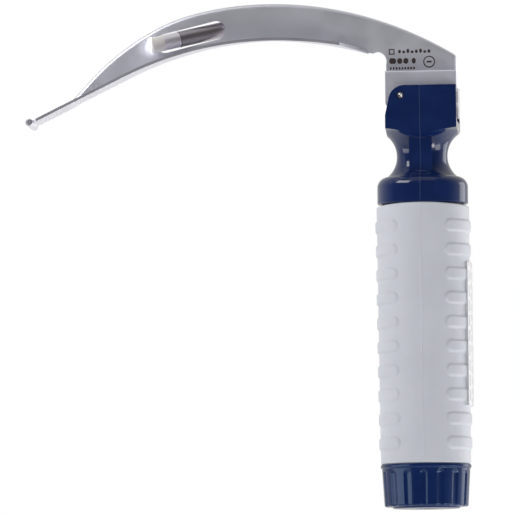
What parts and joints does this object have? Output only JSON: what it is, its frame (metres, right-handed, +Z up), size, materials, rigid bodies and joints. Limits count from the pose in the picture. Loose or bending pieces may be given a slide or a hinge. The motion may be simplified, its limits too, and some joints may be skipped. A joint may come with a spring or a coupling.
{
  "type": "laryngoscope",
  "caption": "Curved-blade laryngoscope hinged on a waisted head above a ribbed battery handle with a fluted screw cap.",
  "frame": {"origin": "centre of the base cap's flat underside", "axes": "+Z up the handle, -X along the opened blade towards its tip, -Y the side the spatula spreads to"},
  "size_m": [0.1368, 0.0286, 0.157],
  "materials": {
    "blade_steel": "satin pressed stainless",
    "block_steel": "machined",
    "lamp_steel": "satin tube",
    "tube_steel": "drawn tube",
    "pin_steel": "bright",
    "spring_steel": "spring wire",
    "brass": "plain",
    "dark_metal": "dark anodised",
    "blue_plastic": "gloss moulded",
    "cap_plastic": "gloss moulded",
    "grip_plastic": "satin moulded",
    "white_plastic": "moulded",
    "black_plastic": "moulded",
    "frosted_lens": "frosted",
    "emitter": "lit",
    "label": "printed film",
    "cell_can": "sleeved"
  },
  "bodies": {
    "handle": {"yoke_head": "blue_plastic", "hinge_pin": "pin_steel", "plunger_bush": "white_plastic", "plunger_spring": "spring_steel", "centre_conductor": "brass", "return_strip": "brass", "battery_tube": "dark_metal", "grip_sleeve": "grip_plastic", "grip_label": "label", "cartridge_frame": "black_plastic", "cartridge_links": "spring_steel", "top_terminal": "brass", "bottom_terminal": "brass", "battery_1": "cell_can", "battery_2": "cell_can", "battery_3": "cell_can"},
    "blade": {"blade_sheet": "blade_steel", "heel_block": "block_steel", "heel_contact": "brass", "heel_contact_bush": "white_plastic", "heel_label": "label", "lamp_lead_tube": "tube_steel", "lamp_socket": "lamp_steel", "lamp_body": "lamp_steel", "lamp_lens": "frosted_lens", "lamp_emitter": "emitter", "detent_spring": "spring_steel"},
    "plunger": {"contact_plunger": "brass"},
    "front_ball": {"detent_ball_front": "spring_steel"},
    "rear_ball": {"detent_ball_rear": "spring_steel"},
    "cap_contact": {"cap_contact_plate": "brass", "base_spring": "spring_steel"},
    "cap": {"base_cap": "cap_plastic"}
  },
  "joints": [
    {"name": "blade_fold", "type": "hinge", "parent": "handle", "child": "blade", "pos_m": [-0.00594, 0, 0.12695], "axis": [0, -1, 0], "range_deg": [0, 80]},
    {"name": "plunger_rise", "type": "slide", "parent": "handle", "child": "plunger", "axis": [0, 0, 1], "range_m": [0, 0.0011], "stiffness_N_per_m": 150, "springref_m": 0.003, "deforming": ["plunger_spring"]},
    {"name": "front_ball_press", "type": "slide", "parent": "blade", "child": "front_ball", "axis": [0, 1, 0], "range_m": [0, 0.0006], "stiffness_N_per_m": 500, "springref_m": -0.001, "deforming": ["detent_spring"]},
    {"name": "rear_ball_press", "type": "slide", "parent": "blade", "child": "rear_ball", "axis": [0, -1, 0], "range_m": [0, 0.0006], "stiffness_N_per_m": 500, "springref_m": -0.001},
    {"name": "cap_travel", "type": "slide", "parent": "handle", "child": "cap_contact", "axis": [0, 0, -1], "range_m": [0, 0.0045], "deforming": ["base_spring"]},
    {"name": "cap_turn", "type": "hinge", "parent": "cap_contact", "child": "cap", "pos_m": [0, 0, 0], "axis": [0, 0, 1], "range_deg": [0, 1080]}
  ],
  "couplings": [
    {"joint": "plunger_rise", "follows": "blade_fold", "m_per_rad": 0.00078782},
    {"joint": "cap_turn", "follows": "cap_travel", "rad_per_m": 4188.8}
  ]
}
